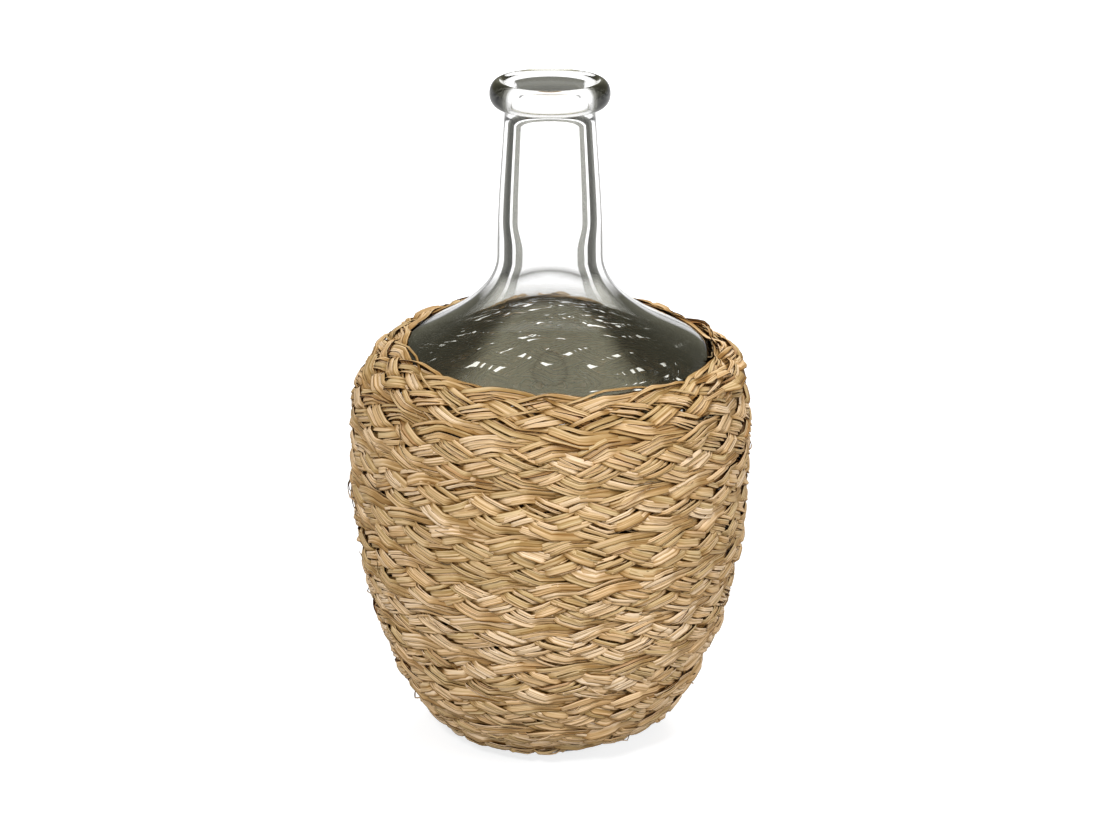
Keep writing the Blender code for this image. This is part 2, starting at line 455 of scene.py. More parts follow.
@dataclass(frozen=True)
class OuterGlass(GlassFinish):
    """The outer face of the glass, a little grey-green, with painted shade where it is seen edge on."""

    # Neck: bands of painted shade from its middle to its outline, moved where it flares into the shoulder
    neck_shade_bands: Bands = (
        (0.225, CLEAR),
        (0.24, GREY_PAINTED_SHADE),
        (0.325, GREY_PAINTED_SHADE),
        (0.335, CLEAR),
        (0.37, CLEAR),
        (0.385, DARK_PAINTED_SHADE),
        (0.47, DARK_PAINTED_SHADE),
        (0.575, DUSK_PAINTED_SHADE),
        (0.61, CLEAR),
        (0.74, CLEAR),
        (0.81, DUSK_PAINTED_SHADE),
    )
    root_at: float = 0.2300
    root_reach: tuple[float, float] = (0.0200, 0.0080)
    root_shift: float = 0.06
    # Soft arc of painted shade where the neck starts: heights from its own, and how it fades to the sides
    arc_at: float = 0.2295
    arc_bend: float = 0.022
    arc_shade_bands: Bands = ((-0.0020, CLEAR), (0.0, ARC_PAINTED_SHADE), (0.0014, ARC_PAINTED_SHADE), (0.0030, CLEAR))
    arc_fade: Bands = ((0.20, CLEAR), (0.46, BLACK))
    # Shoulder: bands of painted shade from its middle to its outline, with uneven edges
    shoulder_shade_bands: Bands = (
        (0.10, PALE_GLASS),
        (0.36, GREEN_PAINTED_SHADE),
        (0.52, GREY_PAINTED_SHADE),
        (0.64, DARK_PAINTED_SHADE),
        (0.79, DARK_PAINTED_SHADE),
        (0.84, CLEAR),
        (0.87, GREY_PAINTED_SHADE),
        (0.90, CLEAR),
        (0.95, GREY_PAINTED_SHADE),
    )
    patch_rate: float = 28.0
    patch_reach: float = 0.10
    patch_rise: float = 0.008
    shoulder_to: float = 0.2160
    neck_from: float = 0.2302
    # Body: painted shade under the cover, from its foot to its rim
    covered_to: float = 0.1800
    covered_shade_bands: Bands = ((0.06, CLEAR), (0.12, DUSK_PAINTED_SHADE), (0.97, DUSK_PAINTED_SHADE), (1.0, CLEAR))
    # Lip: painted shade at its two ends, with a thin dark outline of painted shade
    lip_shade_bands: Bands = (
        (0.27, CLEAR),
        (0.34, GREY_PAINTED_SHADE),
        (0.41, DARK_PAINTED_SHADE),
        (0.62, DARK_PAINTED_SHADE),
        (0.85, DUSK_PAINTED_SHADE),
    )
    lip_shade_line: Bands = ((0.68, CLEAR), (0.84, DUSK_PAINTED_SHADE))

    def neck(self, sheet: NodeSheet, spot: GlassSpot, facing: Socket) -> Socket:
        """The neck's painted shade: its dark bands and the soft arc at its root.

        Args:
            sheet: the material's nodes.
            spot: what is read at a spot.
            facing: how edge on it is seen.

        Returns:
            The colour.
        """
        away = sheet.maths("ABSOLUTE", sheet.maths("SUBTRACT", spot.height, self.root_at))
        shift = sheet.spread(away, self.root_reach, (0.0, self.root_shift), Easing.SMOOTH)
        bands = sheet.ramp(sheet.maths("ADD", facing, shift), self.neck_shade_bands)
        bent = sheet.maths("MULTIPLY_ADD", spot.turned, self.arc_bend, spot.height)
        arc = sheet.ramp(bent, tuple((self.arc_at + rise, colour) for rise, colour in self.arc_shade_bands))
        return sheet.mix(sheet.ramp(spot.turned, self.arc_fade), bands, arc, Blend.MULTIPLY)

    def shoulder(self, sheet: NodeSheet, spot: GlassSpot, facing: Socket, patch: Socket) -> Socket:
        """The shoulder's painted shade: its grey-green middle and dark sides, and the dark under the
        cover.

        Args:
            sheet: the material's nodes.
            spot: what is read at a spot.
            facing: how edge on it is seen.
            patch: the soft pattern that makes the edges uneven.

        Returns:
            The colour.
        """
        uneven = sheet.maths("MULTIPLY_ADD", patch, self.patch_reach, -self.patch_reach / 2)
        bands = sheet.ramp(sheet.maths("ADD", facing, uneven), self.shoulder_shade_bands)
        covered = sheet.ramp(sheet.maths("DIVIDE", spot.height, self.covered_to), self.covered_shade_bands)
        return sheet.mix(1.0, bands, covered, Blend.MULTIPLY)

    def shade(self, sheet: NodeSheet, spot: GlassSpot) -> Socket:
        """The tint and painted shade of shoulder, neck and lip, each from its own height up.

        Args:
            sheet: the material's nodes.
            spot: what is read at a spot.

        Returns:
            The colour.
        """
        facing = sheet.facing()
        patch = sheet.noise(spot.place, self.patch_rate)
        height = sheet.maths("MULTIPLY_ADD", patch, self.patch_rise, spot.height)
        above = sheet.spread(height, (self.shoulder_to, self.neck_from), (0.0, 1.0), Easing.SMOOTH)
        shoulder = self.shoulder(sheet, spot, facing, patch)
        body = sheet.mix(above, shoulder, self.neck(sheet, spot, facing))
        ends, line = sheet.ramp(spot.turned, self.lip_shade_bands), sheet.ramp(facing, self.lip_shade_line)
        return sheet.mix(spot.on_lip, body, sheet.mix(1.0, ends, line, Blend.MULTIPLY))


@dataclass(frozen=True)
class InnerGlass(GlassFinish):
    """The inner face of the glass: clear, apart from a grainy dark lens of painted shade in the lip."""

    lip_to: float = 0.3072
    lens_shade_bands: Bands = ((0.50, DUSK_PAINTED_SHADE), (0.62, CLEAR))
    grain_rate: float = 900.0
    grain_reach: float = 0.16

    def shade(self, sheet: NodeSheet, spot: GlassSpot) -> Socket:
        """The painted shade of the lens between the lip's underside and its top.

        Args:
            sheet: the material's nodes.
            spot: what is read at a spot.

        Returns:
            The colour.
        """
        grain = sheet.noise(spot.place, self.grain_rate, 1.0)
        uneven = sheet.maths("MULTIPLY_ADD", grain, self.grain_reach, spot.turned)
        # The lens is painted shade inside the mouth
        lens = sheet.ramp(uneven, self.lens_shade_bands)
        below = sheet.maths("LESS_THAN", spot.height, self.lip_to)
        return sheet.mix(sheet.maths("MULTIPLY", spot.on_lip, below), (*CLEAR, 1.0), lens)


@dataclass(frozen=True)
class ThreadFinish:
    """Matt waxed thread with a fine twist, and painted shade in the hollows of the twist."""

    name: str = "waxed_thread"
    colour: Colour = (0.36, 0.25, 0.13)
    hollow_light: float = 0.6
    twist_rate: float = 600.0
    twist_bend: float = 2.0
    roughness: float = 0.8

    def material(self) -> bpy.types.Material:
        """Build the material.

        Returns:
            The finished material.
        """
        sheet = NodeSheet(bpy.data.materials.new(self.name))
        place = sheet.node("TexCoord").outputs["Object"]
        twist = sheet.node("TexWave", Vector=place, Scale=self.twist_rate, Distortion=self.twist_bend)
        # Painted shade in the hollows of the twist
        hollow = tuple(channel * self.hollow_light for channel in self.colour)
        colour = sheet.ramp(twist.outputs["Fac"], ((0.0, hollow), (1.0, self.colour)))
        return sheet.finish(sheet.node("BsdfPrincipled", Base_Color=colour, Roughness=self.roughness))


class OutlineSteps(NamedTuple):
    """How many steps each curve of the outside is drawn in."""

    heel: int
    shoulder: int
    flare: int
    neck: int


SHOWN_STEPS = OutlineSteps(30, 20, 26, 12)
MEASURED_STEPS = OutlineSteps(90, 60, 60, 40)


@dataclass
class GlassOutline:
    """The turned outline of the glass, as (radius, height) points."""

    height: float = 0.310
    foot_radius: float = 0.0365
    foot_land: float = 0.0050
    punt_rise: float = 0.0050
    punt_steps: int = 10
    heel_angle: float = math.radians(27)
    heel_pull: float = 0.0455
    belly: Vector = field(default_factory=lambda: Vector((0.0878, 0.1345)))
    belly_pulls: tuple[float, float] = (0.0430, 0.0361)
    shoulder: Vector = field(default_factory=lambda: Vector((0.0706, 0.1874)))
    shoulder_slope: float = math.radians(46.4)
    shoulder_pulls: tuple[float, float] = (0.0252, 0.0073)
    neck_root: Vector = field(default_factory=lambda: Vector((0.0237, 0.2304)))
    neck_root_pull: float = 0.0241
    neck_top_radius: float = 0.0200
    lip_radius: float = 0.0268
    lip_height: float = 0.0119
    lip_steps: int = 28
    mouth_radius: float = 0.0182
    mouth_depth: float = 0.0190
    throat_pull: float = 0.0060
    throat_steps: int = 8
    body_wall: float = 0.0035
    neck_wall: float = 0.0045
    base_thickness: float = 0.0060
    base_steps: int = 14

    @staticmethod
    def polar(angle: float, length: float) -> Vector:
        """A step of that length at that angle."""
        return Vector((math.cos(angle) * length, math.sin(angle) * length))

    @staticmethod
    def curve(start: Vector, leave: Vector, arrive: Vector, end: Vector, steps: int) -> list[Vector]:
        """Points from start to end along a curve that leaves by one pull and arrives by the other."""
        return geometry.interpolate_bezier(start, start + leave, end + arrive, end, steps + 1)

    def outer(self, steps: OutlineSteps) -> list[Vector]:
        """The outside from the foot to the underside of the lip.

        Args:
            steps: how fine each curve is drawn.

        Returns:
            The points, from the foot up.
        """
        up = Vector((0.0, 1.0))
        neck_top = Vector((self.neck_top_radius, self.height - self.lip_height))
        third = (neck_top - self.neck_root) / 3
        points = self.curve(
            Vector((self.foot_radius, 0.0)),
            self.polar(self.heel_angle, self.heel_pull),
            -up * self.belly_pulls[0],
            self.belly,
            steps.heel,
        )
        points += self.curve(
            self.belly,
            up * self.belly_pulls[1],
            self.polar(-self.shoulder_slope, self.shoulder_pulls[0]),
            self.shoulder,
            steps.shoulder,
        )[1:]
        points += self.curve(
            self.shoulder,
            self.polar(math.pi - self.shoulder_slope, self.shoulder_pulls[1]),
            -up * self.neck_root_pull,
            self.neck_root,
            steps.flare,
        )[1:]
        return points + self.curve(self.neck_root, up * third.y, -third, neck_top, steps.neck)[1:]

    def lip(self) -> list[Vector]:
        """The rolled lip from the neck under it, out and over to the mouth.

        Returns:
            The points, in that order.
        """
        middle = Vector(((self.lip_radius + self.mouth_radius) / 2, self.height - self.lip_height / 2))
        wide, high = (self.lip_radius - self.mouth_radius) / 2, self.lip_height / 2
        turns = [math.radians(-90 + 270 * n / self.lip_steps) for n in range(self.lip_steps + 1)]
        return [middle + Vector((math.cos(a) * wide, math.sin(a) * high)) for a in turns]

    def wall(self, height: float) -> float:
        """Wall thickness: even in the body, growing to the neck's over the shoulder."""
        share = (height - self.shoulder.y) / (self.neck_root.y - self.shoulder.y)
        return self.body_wall + (self.neck_wall - self.body_wall) * min(max(share, 0.0), 1.0)

    def inside(self, outer: list[Vector]) -> list[Vector]:
        """The inside from the bore under the mouth down to the heel, one wall in from the outside.

        Args:
            outer: the outside, from the foot up.

        Returns:
            The points, from the top down.
        """
        low, high = 2 * self.base_thickness, self.height - self.mouth_depth
        points = []
        for before, point, after in zip(outer, outer[1:], outer[2:]):
            way = (after - before).normalized()
            points.append(point + Vector((-way.y, way.x)) * self.wall(point.y))
        return [point for point in reversed(points) if low < point.y < high]

    def profile(self) -> list[Vector]:
        """The whole section, from the foot ring up the outside, over the lip and down the inside.

        Returns:
            The points, up to the inner edge of the foot ring.
        """
        outer = self.outer(SHOWN_STEPS)
        inner = self.inside(outer)
        bore_top = Vector((self.neck_top_radius - self.neck_wall, self.height - self.mouth_depth))
        mouth = Vector((self.mouth_radius, self.height - self.lip_height / 2))
        pull = Vector((0, self.throat_pull))
        throat = self.curve(mouth, -pull, pull, bore_top, self.throat_steps)
        heel = inner[-1]
        base = self.curve(
            heel,
            self.polar(math.pi + self.heel_angle, heel.x / 3),
            Vector((heel.x / 3, 0.0)),
            Vector((0.0, self.punt_rise + self.base_thickness)),
            self.base_steps,
        )
        edge = Vector((self.foot_radius - self.foot_land, 0.0))
        punt = self.curve(
            Vector((0.0, self.punt_rise)),
            Vector((edge.x / 2, 0.0)),
            Vector((-edge.x / 4, self.punt_rise / 2)),
            edge,
            self.punt_steps,
        )
        return outer + self.lip()[1:] + throat[1:] + inner[1:] + base[1:] + punt


@dataclass
class GlassVase:
    """The blown glass shell, turned from its outline."""

    outline: GlassOutline
    sides: int = 144
    same_place: float = 1e-6
    inward: float = 1e-5
    floor_below: float = 0.06
    floor_level: float = 0.1

    def turned(self) -> bmesh.types.BMesh:
        """Turn the outline round the axis.

        Returns:
            The closed shell, with its faces outwards.
        """
        bm = bmesh.new()
        verts = [bm.verts.new((point.x, 0.0, point.y)) for point in self.outline.profile()]
        edges = [bm.edges.new(pair) for pair in zip(verts, verts[1:] + verts[:1])]
        axis = [edge for edge in edges if all(vert.co.x < self.same_place for vert in edge.verts)]
        edges = [edge for edge in edges if edge not in axis]
        bmesh.ops.delete(bm, geom=axis, context="EDGES_FACES")
        bmesh.ops.spin(
            bm,
            geom=verts + edges,
            axis=(0, 0, 1),
            cent=(0, 0, 0),
            angle=2 * math.pi,
            steps=self.sides,
            use_merge=True,
        )
        bmesh.ops.remove_doubles(bm, verts=bm.verts, dist=self.same_place)
        bmesh.ops.recalc_face_normals(bm, faces=bm.faces)
        return bm

    def is_inside(self, face: bmesh.types.BMFace) -> bool:
        """Whether a face looks into the vase.

        Args:
            face: a face of the shell.

        Returns:
            True where it looks at the axis, or up from the floor of the inside.
        """
        middle = face.calc_center_median()
        away = Vector((middle.x, middle.y, 0.0))
        floor = middle.z < self.floor_below and face.normal.z > self.floor_level
        return face.normal.dot(away) < -self.inward * away.length or floor

    def build(self, outside: bpy.types.Material, inside: bpy.types.Material) -> bpy.types.Object:
        """Build the glass with its two faces dressed.

        Args:
            outside: finish of the outer face.
            inside: finish of the inner face.

        Returns:
            The vase.
        """
        bm = self.turned()
        for face in bm.faces:
            face.material_index = int(self.is_inside(face))
            face.smooth = True
        mesh = bpy.data.meshes.new("blown_glass")
        bm.to_mesh(mesh)
        bm.free()
        mesh.materials.append(outside)
        mesh.materials.append(inside)
        vase = bpy.data.objects.new("blown_glass", mesh)
        bpy.context.collection.objects.link(vase)
        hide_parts("glass_vase")
        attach(vase, "root")
        log.info("%s: %d sides", vase.name, self.sides)
        return vase


class GlassSurface:
    """The outside of the glass as a function of the distance along its outline from the foot."""

    def __init__(self, outline: GlassOutline) -> None:
        """Measure the outline.

        Args:
            outline: the turned outline of the glass.
        """
        points = np.array([point[:] for point in outline.outer(MEASURED_STEPS)])
        steps = np.hypot(*np.diff(points, axis=0).T)
        self.distance = np.concatenate([[0.0], np.cumsum(steps)])
        self.points = points
        slopes = np.gradient(points, self.distance, axis=0)
        self.normals = np.column_stack([slopes[:, 1], -slopes[:, 0]])

    def at(self, distance: np.ndarray, lift: np.ndarray | float) -> tuple[np.ndarray, np.ndarray]:
        """Find places off the glass.

        Args:
            distance: how far along the outline they are.
            lift: how far off the glass they are.

        Returns:
            Their radii and their heights.
        """
        radius, height = (np.interp(distance, self.distance, column) for column in self.points.T)
        out_r, out_z = (np.interp(distance, self.distance, column) for column in self.normals.T)
        return radius + out_r * lift, height + out_z * lift


class Wander:
    """A smooth random line: a few long waves added together."""

    # Wavelengths as shares of the middle one, and the least and greatest size of a wave
    WAVES = (0.55, 0.85, 1.35, 2.3)
    SIZES = (0.5, 1.0)

    def __init__(self, rng: np.random.Generator, wavelength: float) -> None:
        """Choose the waves.

        Args:
            rng: the seeded generator.
            wavelength: the middle wavelength in metres.
        """
        count = len(self.WAVES)
        self.rates = 2 * np.pi / (wavelength * np.array(self.WAVES))
        self.starts = rng.uniform(0, 2 * np.pi, count)
        self.sizes = rng.uniform(*self.SIZES, count) * 2 / count

    def __call__(self, along: np.ndarray) -> np.ndarray:
        """The line's value, mostly within -1 and 1, at distances along it."""
        return (np.sin(np.multiply.outer(along, self.rates) + self.starts) * self.sizes).sum(axis=-1)


def eased(values: np.ndarray) -> np.ndarray:
    """The values, held between 0 and 1 and eased in and out at both ends."""
    share = np.clip(values, 0, 1)
    return share * share * (3 - 2 * share)


@dataclass(frozen=True)
class StrandPath:
    """Where the middle of a strand runs, with one value at each distance along the plait."""

    # The turn it is on, how far the rim's end is folded down, and how far the upper edge is the rim
    turn: np.ndarray
    fold: np.ndarray
    rim: np.ndarray
    # The plait's middle line and width, as distances along the glass
    middle: np.ndarray
    width: np.ndarray
    # The strand's phase, its place across the plait from -1 to 1, and its slope there
    phase: np.ndarray
    across: np.ndarray
    slope: np.ndarray
    # How tightly its blades are gathered, and which edge of the plait lies outside
    gather: np.ndarray
    shingle: np.ndarray


@dataclass
class PlaitLine:
    """Where the plait runs on the glass and how its five strands pass over and under each other."""

    surface: GlassSurface
    seed: int = 7
    strands: int = 5
    # Rows: where they start, how far apart they are, and how far each laps over the one below
    cover_start: float = 0.0150
    cover_rows: float = 9.62
    pitch: float = 0.0212
    overlap: float = 0.0035
    overlap_from: float = 1.2
    first_turn: float = 0.27
    last_turn: float = 10.0
    turn_margin: float = 0.1
    turn_samples: int = 6000
    line_lift: float = 0.003
    # Plaiting: length of one crossing, how sharply a strand turns back at the edge, how fast it dives
    fold_pitch: float = 0.0255
    edge_turn: float = 0.37
    edge_softness: int = 24
    phase_samples: int = 2001
    passes: tuple[float, ...] = (0.5, 1, 0, 1, 0, 0.5, 1, 0, 1, 0, 0.5)
    dive: tuple[float, float] = (0.34, 0.66)
    # Rim: where the plait ends, how its end is folded down, and where the rim stands higher
    rim_end_azimuth: float = math.radians(-15)
    rim_fade: float = 0.05
    fold_reach: float = 0.088
    fold_end: float = 0.018
    fold_drop: float = 0.0140
    rim_rise: float = 0.0050
    rim_rise_azimuth: float = math.radians(115)
    # Unevenness by hand: sizes of the slow changes along the plait
    drift_size: float = 0.0009
    swell_size: float = 0.0009
    hurry_size: float = 0.0035
    shingle_gain: float = 2.5
    gather_middle: float = 0.97
    gather_size: float = 0.08
    gather_behind: float = 0.19
    strand_shift: float = 3.1

    def __post_init__(self) -> None:
        """Measure the plait's length turn by turn and draw one period of a strand's path."""
        rng = np.random.default_rng(self.seed)
        self.drift, self.swell, self.hurry = Wander(rng, 0.12), Wander(rng, 0.09), Wander(rng, 0.17)
        self.gather, self.shingle = Wander(rng, 0.10), Wander(rng, 0.16)
        first, last = self.first_turn - self.turn_margin, self.last_turn + self.turn_margin
        self.turns = np.linspace(first, last, self.turn_samples)
        lower, upper = self.edges(self.turns)
        radius, _ = self.surface.at((lower + upper) / 2, self.line_lift)
        run = 2 * np.pi * (radius[1:] + radius[:-1]) / 2 * np.diff(self.turns)
        self.lengths = np.concatenate([[0.0], np.cumsum(run)])
        self.step = self.fold_pitch / 2
        self.period = 2 * self.strands
        self.phases = np.linspace(0.0, self.period, self.phase_samples)
        height = np.abs(1 - self.phases / self.strands)
        self.acrosses = self.soften(np.clip((height - 0.5) / self.edge_turn, -1, 1), self.edge_softness)
        self.slopes = np.gradient(self.acrosses, self.phases)
        levels = np.array(self.passes)
        base = np.floor(self.phases).astype(int).clip(0, self.period - 1)
        share = eased((self.phases - base - self.dive[0]) / (self.dive[1] - self.dive[0]))
        self.levels = levels[base] + (levels[base + 1] - levels[base]) * share

    @staticmethod
    def soften(values: np.ndarray, width: int) -> np.ndarray:
        """Round the corners of a repeating line with two moving averages.

        Args:
            values: the line, with its first value again at the end.
            width: how many values are averaged.

        Returns:
            The softened line.
        """
        for _ in range(2):
            ring = np.concatenate([values[-width - 1 : -1], values, values[1 : width + 1]])
            values = np.convolve(ring, np.ones(width) / width, mode="same")[width:-width]
        return values

    def edges(self, turn: np.ndarray) -> tuple[np.ndarray, np.ndarray]:
        """Find the edges of the plait.

        Args:
            turn: the turn that it is on.

        Returns:
            Its lower and its upper edge, as distances along the outline.
        """
        lower = self.cover_start + self.pitch * np.maximum(turn - 1.0, 0.0)
        upper = self.cover_start + self.pitch * np.minimum(turn, self.cover_rows)
        return lower, upper

    def length_at(self, turn: float) -> float:
        """Length of the plait from its foot end to a turn."""
        return float(np.interp(turn, self.turns, self.lengths))

    def turn_at(self, length: np.ndarray) -> np.ndarray:
        """The turn at distances along the plait."""
        return np.interp(length, self.lengths, self.turns)

    def azimuth(self, turn: np.ndarray) -> np.ndarray:
        """Angle round the axis: the plait climbs clockwise, seen from above."""
        return self.rim_end_azimuth + 2 * np.pi * (self.last_turn - turn)

    def strand(self, length: np.ndarray, number: int) -> StrandPath:
        """Find where the middle of a strand runs.

        Args:
            length: distances along the plait.
            number: the strand, from 0.

        Returns:
            The strand's path at those distances.
        """
        turn = self.turn_at(length)
        azimuth = self.azimuth(turn)
        lower, upper = self.edges(turn)
        share = np.clip((upper - lower) / self.pitch, 0, 1)
        lower = lower - self.overlap * np.clip(turn - self.overlap_from, 0, 1)
        left = self.length_at(self.last_turn) - length
        fold = eased((self.fold_reach - left) / (self.fold_reach - self.fold_end))
        rim = np.clip((turn - self.last_turn + 1) / self.rim_fade, 0, 1)
        raised = self.rim_rise * rim * np.maximum(np.cos(azimuth - self.rim_rise_azimuth), 0)
        drift, swell = self.drift_size * self.drift(length), self.swell_size * self.swell(length)
        hurried = (length + self.hurry_size * self.hurry(length)) / self.step
        phase = (hurried - 2 * number) % self.period
        gather = self.gather_middle + self.gather_size * self.gather(length + self.strand_shift * number)
        return StrandPath(
            turn=turn,
            fold=fold,
            rim=rim,
            middle=(lower + upper + raised) / 2 + drift * share - fold * self.fold_drop,
            width=upper + raised - lower + swell * share,
            phase=phase,
            across=np.interp(phase, self.phases, self.acrosses),
            slope=np.interp(phase, self.phases, self.slopes) / self.step,
            gather=gather - self.gather_behind * np.sin(azimuth),
            shingle=np.clip(self.shingle_gain * self.shingle(length), -1, 1),
        )

    def level(self, phase: np.ndarray) -> np.ndarray:
        """How high the strand passes, from 0 under to 1 over."""
        return np.interp(phase % self.period, self.phases, self.levels)


@dataclass
class Blade:
    """One dried blade of grass in a strand."""

    # Where it runs along the plait, its place in the bundle, and how much it slants across it
    start: float
    end: float
    offset: float
    slant: float
    # Its section: width, how far it is crowned and rolled, and how high it lies in the bundle
    width: float
    crown: float
    roll: float
    stack: float
    # Its tint, how far its tail stands off, how long it tapers, and how it wavers
    tint: float
    loose: float
    tip: float
    wander: Wander
    sway: Wander


@dataclass
class BladeDraw:
    """Draws the blades of a bundle: what is usual for them, and how much they differ."""

    rng: np.random.Generator
    bundle_width: float
    counts: tuple[int, ...] = (3, 4, 5, 6)
    usual_count: float = 4.6
    usual_width: float = 0.0023
    widths: tuple[float, float] = (0.55, 1.55)
    spot_spread: float = 0.00040
    stack_step: float = 0.00036
    stack_spread: float = 0.00050
    crowns: tuple[float, float] = (0.03, 0.12)
    rolls: tuple[float, float] = (math.radians(-17), math.radians(13))
    # Tints: the bundle's own, the blade's from it, and the limits
    bundle_tint: tuple[float, float] = (0.55, 0.10)
    tint_spread: float = 0.13
    tint_limits: tuple[float, float] = (0.05, 0.80)
    # Ends: how far blades run past the bundle, and how often and where they are joined
    before: tuple[float, float] = (0.004, 0.030)
    after: tuple[float, float] = (0.004, 0.026)
    joined: float = 0.5
    joined_from: float = 0.1
    join_at: tuple[float, float] = (0.2, 0.8)
    join_lap: tuple[float, float] = (0.010, 0.022)
    tips: tuple[float, float] = (0.003, 0.014)
    loose_share: float = 0.15
    looseness: tuple[float, float] = (0.4, 1.0)
    wander_wave: float = 0.045
    sway_wave: float = 0.030
    # Hairs: fine fibres that stray from the bundle
    hairs: int = 4
    hair_lengths: tuple[float, float] = (0.012, 0.030)
    hair_width: float = 0.0006
    hair_stack: float = 0.0012
    hair_slant: float = 0.35

    def bundle(self, start: float, end: float, hairs_to: float) -> list[Blade]:
        """Choose the blades of one length of a strand.

        Args:
            start: the plait's length where the strand's length begins.
            end: the plait's length where it ends.
            hairs_to: the plait's length from which hairs are left out.

        Returns:
            Its blades, from the lower side of the bundle to the upper, and its hairs.
        """
        rng = self.rng
        count = int(rng.choice(self.counts))
        family = rng.normal(*self.bundle_tint)
        found = []
        for number in range(count):
            width = self.usual_width * rng.uniform(*self.widths) * self.usual_count / count
            offset = (2 * number / (count - 1) - 1) * (self.bundle_width - width) / 2
            stack = self.stack_step * (number % 2)
            cuts = [start - rng.uniform(*self.before), end + rng.uniform(*self.after)]
            if rng.random() < self.joined and end - start > self.joined_from:
                cuts.insert(1, start + (end - start) * rng.uniform(*self.join_at))
            for part, (first, last) in enumerate(zip(cuts, cuts[1:])):
                first = first - part * rng.uniform(*self.join_lap)
                spot = offset + rng.normal(0, self.spot_spread)
                found.append(self.blade((first, last), spot, width, stack, family, self.loose_share))
        for _ in range(self.hairs):
            first = rng.uniform(start, end)
            span = (first, first + rng.uniform(*self.hair_lengths))
            hair = self.blade(span, 0.0, self.hair_width, self.hair_stack, family, 1.0)
            hair.slant = rng.uniform(-self.hair_slant, self.hair_slant)
            if first < hairs_to:
                found.append(hair)
        return found

    def blade(
        self,
        span: tuple[float, float],
        offset: float,
        width: float,
        stack: float,
        family: float,
        loose: float,
    ) -> Blade:
        """Choose one blade.

        Args:
            span: where it begins and ends along the plait.
            offset: its place in the bundle.
            width: its width.
            stack: how high it lies in the bundle.
            family: the tint of its bundle.
            loose: how likely its tail is to stand off.

        Returns:
            The blade.
        """
        rng = self.rng
        return Blade(
            start=span[0],
            end=span[1],
            offset=offset,
            slant=0.0,
            width=width,
            crown=rng.uniform(*self.crowns) * width,
            roll=rng.normal(*self.rolls),
            stack=stack + rng.uniform(0, self.stack_spread),
            tint=float(np.clip(family + rng.normal(0, self.tint_spread), *self.tint_limits)),
            loose=float(rng.random() < loose) * rng.uniform(*self.looseness),
            tip=rng.choice(self.tips),
            wander=Wander(rng, self.wander_wave),
            sway=Wander(rng, self.sway_wave),
        )


